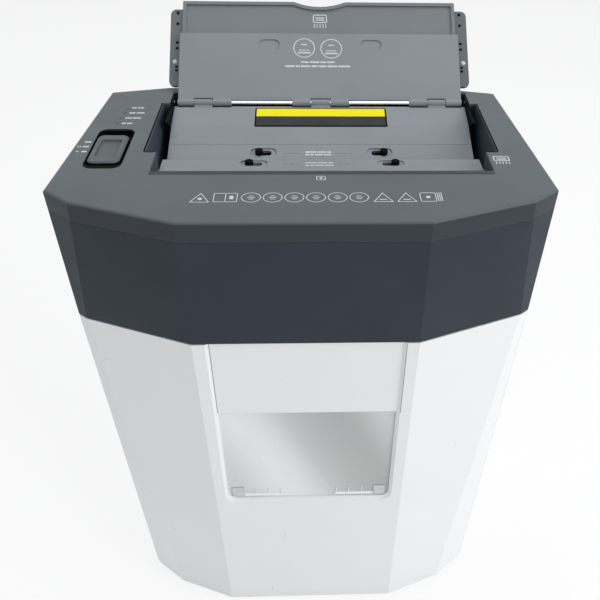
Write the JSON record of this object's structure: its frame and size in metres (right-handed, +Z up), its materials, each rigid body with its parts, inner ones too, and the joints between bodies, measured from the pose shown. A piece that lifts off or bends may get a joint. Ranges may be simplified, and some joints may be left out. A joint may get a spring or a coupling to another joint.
{
  "type": "paper shredder",
  "caption": "Free-standing auto-feed paper shredder: faceted cabinet, hinged paper-tray lid, pull-out bin with a window, and a geared cutting unit.",
  "frame": {"origin": "centre of the cabinet in plan, on the floor: half way between the front facet and the back, on the shell plane of symmetry", "axes": "+Z up; -Y is the front, where the bin pulls out; +X to the right as seen from the front"},
  "size_m": [0.3498, 0.2698, 0.5122],
  "materials": {
    "shell_white": "satin",
    "slate": "satin",
    "cover_grey": "satin",
    "tray_grey": "satin",
    "black": "matte",
    "clear": "clear",
    "bin_inner": "matte",
    "steel": "brushed",
    "bright_steel": "polished",
    "tool_steel": "ground",
    "bronze": "satin",
    "rubber": "matte",
    "gear_nylon": "matte",
    "motor_grey": "satin",
    "board_green": "satin",
    "lamp": "gloss",
    "yellow": "satin"
  },
  "bodies": {
    "cabinet": {"base_plinth": "shell_white", "rubber_feet": "rubber", "bin_runners": "bin_inner", "cabinet_shell": "shell_white", "head_housing": "slate", "top_cover": "cover_grey", "well_liner": "slate", "feed_ramp": "tray_grey", "hinge_rod": "bright_steel", "hinge_brackets": "black", "throat_guide": "black", "side_plate_left": "steel", "side_plate_right": "steel", "tie_rods": "steel", "shaft_bushes": "bronze", "comb_front": "black", "comb_rear": "black", "shred_chute": "black", "motor_can": "motor_grey", "gear_axle": "steel", "drive_belt": "rubber", "circuit_board": "board_green", "board_posts": "black", "board_parts": "black", "power_inlet": "black", "mode_switch": "black", "bin_interlock": "black", "status_lenses": "lamp", "band_dark": "black", "band_yellow": "yellow"},
    "lid": {"lid_plate": "tray_grey", "lid_cover": "cover_grey"},
    "extension": {"extension_tray": "tray_grey"},
    "panel_1": {"access_panel_1": "tray_grey"},
    "panel_2": {"access_panel_2": "tray_grey"},
    "latch_1_left": {"latch_1_left": "black"},
    "latch_1_right": {"latch_1_right": "black"},
    "latch_2_left": {"latch_2_left": "black"},
    "latch_2_right": {"latch_2_right": "black"},
    "switch": {"power_slider": "cover_grey"},
    "bin": {"bin_front": "shell_white", "bin_tub": "bin_inner", "bin_window": "clear"},
    "rear_roll": {"cutter_rear": "tool_steel", "gear_rear": "steel", "cutter_pulley": "black"},
    "front_roll": {"cutter_front": "tool_steel", "gear_front": "steel"},
    "reduction": {"compound_gear": "gear_nylon"},
    "motor_rotor": {"motor_pinion": "steel"},
    "feed": {"feed_shaft": "steel", "feed_rollers": "rubber", "feed_pulley": "black"}
  },
  "joints": [
    {"name": "lid_hinge", "type": "hinge", "parent": "cabinet", "child": "lid", "pos_m": [0.0133, 0.0845, 0.4518], "axis": [1, 0, 0], "range_deg": [0, 140]},
    {"name": "extension_slide", "type": "slide", "parent": "lid", "child": "extension", "axis": [0, 0.766, 0.6428], "range_m": [-0.025, 0]},
    {"name": "access_panel_1_hinge", "type": "hinge", "parent": "cabinet", "child": "panel_1", "pos_m": [0.0133, 0.00826, 0.42489], "axis": [-1, 0, 0], "range_deg": [-70, 0]},
    {"name": "access_panel_2_hinge", "type": "hinge", "parent": "cabinet", "child": "panel_2", "pos_m": [0.0133, -0.0156, 0.4408], "axis": [-1, 0, 0], "range_deg": [-80, 0]},
    {"name": "latch_1_left_slide", "type": "slide", "parent": "panel_1", "child": "latch_1_left", "axis": [1, 0, 0], "range_m": [0, 0.007]},
    {"name": "latch_1_right_slide", "type": "slide", "parent": "panel_1", "child": "latch_1_right", "axis": [-1, 0, 0], "range_m": [0, 0.007]},
    {"name": "latch_2_left_slide", "type": "slide", "parent": "panel_2", "child": "latch_2_left", "axis": [1, 0, 0], "range_m": [0, 0.007]},
    {"name": "latch_2_right_slide", "type": "slide", "parent": "panel_2", "child": "latch_2_right", "axis": [-1, 0, 0], "range_m": [0, 0.007]},
    {"name": "power_slide", "type": "slide", "parent": "cabinet", "child": "switch", "axis": [0, 1, 0], "range_m": [0, 0.0088]},
    {"name": "bin_slide", "type": "slide", "parent": "cabinet", "child": "bin", "axis": [0, -1, 0], "range_m": [0, 0.19]},
    {"name": "rear_roll_spin", "type": "hinge", "parent": "cabinet", "child": "rear_roll", "pos_m": [0.0133, -0.006, 0.385], "axis": [1, 0, 0], "continuous": true},
    {"name": "front_roll_spin", "type": "hinge", "parent": "cabinet", "child": "front_roll", "pos_m": [0.0133, -0.038, 0.385], "axis": [1, 0, 0], "continuous": true},
    {"name": "reduction_spin", "type": "hinge", "parent": "cabinet", "child": "reduction", "pos_m": [0.0133, 0.022, 0.385], "axis": [1, 0, 0], "continuous": true},
    {"name": "motor_spin", "type": "hinge", "parent": "cabinet", "child": "motor_rotor", "pos_m": [0.0133, 0.055, 0.385], "axis": [1, 0, 0], "continuous": true},
    {"name": "feed_spin", "type": "hinge", "parent": "cabinet", "child": "feed", "pos_m": [0.0133, 0.01977, 0.41955], "axis": [1, 0, 0], "continuous": true}
  ],
  "couplings": [
    {"joint": "front_roll_spin", "follows": "rear_roll_spin", "ratio": -1},
    {"joint": "reduction_spin", "follows": "rear_roll_spin", "ratio": -1.3333},
    {"joint": "motor_spin", "follows": "rear_roll_spin", "ratio": 3.5556},
    {"joint": "feed_spin", "follows": "rear_roll_spin", "ratio": 1.4545}
  ]
}
